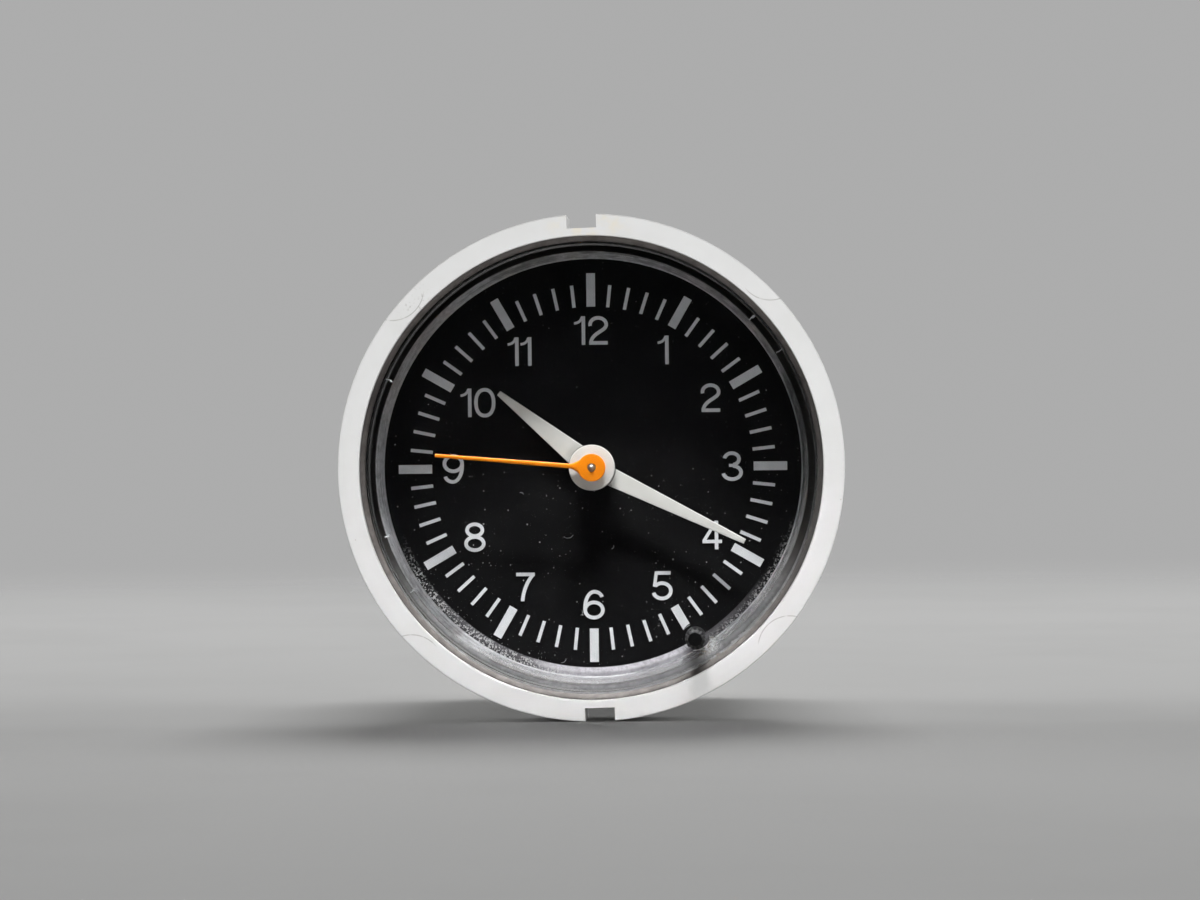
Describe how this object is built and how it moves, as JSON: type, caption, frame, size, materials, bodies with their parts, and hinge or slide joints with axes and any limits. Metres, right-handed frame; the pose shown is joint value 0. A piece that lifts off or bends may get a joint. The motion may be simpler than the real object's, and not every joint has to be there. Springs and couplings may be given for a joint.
{
  "type": "panel clock",
  "caption": "Round panel clock with a notched white flange, clear lens, black dial, three hands, a quartz gear train and a push-and-turn setting knob; clamp studs and blades at the back.",
  "frame": {"origin": "on the dial axis, in the plane of the flange's back face, which rests on the panel", "axes": "+Y runs back along the barrel, the dial faces -Y, +Z is towards twelve o'clock, +X towards three"},
  "size_m": [0.06, 0.0573, 0.06],
  "materials": {
    "case_white": "satin moulded white plastic",
    "clear_plastic": "polished clear acrylic",
    "seal_rubber": "matte rubber",
    "dial_black": "matte black print",
    "dial_print": "white print",
    "hand_white": "satin off-white",
    "hand_orange": "satin orange",
    "steel": "turned steel",
    "brass": "cut brass",
    "wheel_plastic": "moulded ivory acetal",
    "plate_plastic": "moulded white plastic",
    "magnet": "sintered ferrite",
    "lamination": "stamped iron",
    "bobbin_black": "moulded black plastic",
    "copper": "enamelled copper wire",
    "board_green": "lacquered board",
    "tinned": "tinned metal",
    "chip_black": "moulded black resin",
    "capacitor_blue": "plastic sleeve",
    "knob_black": "polished black plastic",
    "zinc": "zinc plated steel",
    "lamp_glass": "clear glass"
  },
  "bodies": {
    "case": {"case": "case_white", "lens": "clear_plastic", "lens_seal": "seal_rubber", "dial": "dial_black", "dial_marks": "dial_print", "stator": "lamination", "coil_core": "lamination", "coil_bobbin": "bobbin_black", "coil_winding": "copper", "coil_pins": "tinned", "stator_screws": "zinc", "front_plate": "plate_plastic", "rear_plate": "plate_plastic", "plate_pillars": "brass", "board_spacers": "brass", "frame_screws": "zinc", "case_screws": "zinc", "circuit_board": "board_green", "quartz_crystal": "tinned", "clock_chip": "chip_black", "storage_capacitor": "capacitor_blue", "trim_capacitor": "wheel_plastic", "set_spring": "steel", "clamp_studs": "zinc", "stud_nuts": "zinc", "supply_blades": "brass", "lamp_holder": "bobbin_black", "lamp_bulb": "lamp_glass", "lamp_tabs": "brass"},
    "minute": {"minute_hand": "hand_white", "cannon_pinion": "brass", "centre_wheel": "brass"},
    "hour": {"hour_hand": "hand_white", "hour_wheel": "wheel_plastic"},
    "seconds": {"second_hand": "hand_orange", "second_arbor": "steel", "second_wheel": "wheel_plastic"},
    "third": {"third_wheel": "wheel_plastic"},
    "intermediate": {"intermediate_wheel": "wheel_plastic"},
    "rotor": {"rotor_magnet": "magnet", "rotor_pinion": "wheel_plastic"},
    "motion": {"minute_wheel": "wheel_plastic"},
    "setting": {"setting_wheel": "wheel_plastic"},
    "push": {"set_collar": "steel"},
    "knob": {"set_knob": "knob_black", "set_stem": "steel", "set_pinion": "brass"}
  },
  "joints": [
    {"name": "minute_turn", "type": "hinge", "parent": "case", "child": "minute", "pos_m": [0, 0, 0], "axis": [0, 1, 0], "continuous": true},
    {"name": "hour_turn", "type": "hinge", "parent": "case", "child": "hour", "pos_m": [0, 0, 0], "axis": [0, 1, 0], "continuous": true},
    {"name": "second_turn", "type": "hinge", "parent": "case", "child": "seconds", "pos_m": [0, 0, 0], "axis": [0, 1, 0], "continuous": true},
    {"name": "third_turn", "type": "hinge", "parent": "case", "child": "third", "pos_m": [-0.00737, 0, -0.00516], "axis": [0, 1, 0], "continuous": true},
    {"name": "intermediate_turn", "type": "hinge", "parent": "case", "child": "intermediate", "pos_m": [0.00763, 0, 0.00477], "axis": [0, 1, 0], "continuous": true},
    {"name": "rotor_turn", "type": "hinge", "parent": "case", "child": "rotor", "pos_m": [0.00311, 0, 0.011], "axis": [0, 1, 0], "continuous": true},
    {"name": "minute_wheel_turn", "type": "hinge", "parent": "case", "child": "motion", "pos_m": [0.00309, 0, -0.00514], "axis": [0, 1, 0], "continuous": true},
    {"name": "setting_wheel_turn", "type": "hinge", "parent": "case", "child": "setting", "pos_m": [0.01013, 0, -0.01327], "axis": [0, 1, 0], "continuous": true},
    {"name": "knob_push", "type": "slide", "parent": "case", "child": "push", "axis": [0, 1, 0], "range_m": [0, 0.0012], "stiffness_N_per_m": 150, "deforming": ["set_spring"]},
    {"name": "knob_turn", "type": "hinge", "parent": "push", "child": "knob", "pos_m": [0.01215, 0, -0.02023], "axis": [0, 1, 0], "continuous": true}
  ],
  "couplings": [
    {"joint": "hour_turn", "follows": "minute_turn", "ratio": 0.083333},
    {"joint": "second_turn", "follows": "minute_turn", "ratio": 60},
    {"joint": "third_turn", "follows": "minute_turn", "ratio": -8},
    {"joint": "intermediate_turn", "follows": "minute_turn", "ratio": -300},
    {"joint": "rotor_turn", "follows": "minute_turn", "ratio": 1800},
    {"joint": "minute_wheel_turn", "follows": "minute_turn", "ratio": -0.33333},
    {"joint": "setting_wheel_turn", "follows": "minute_turn", "ratio": 0.24}
  ]
}
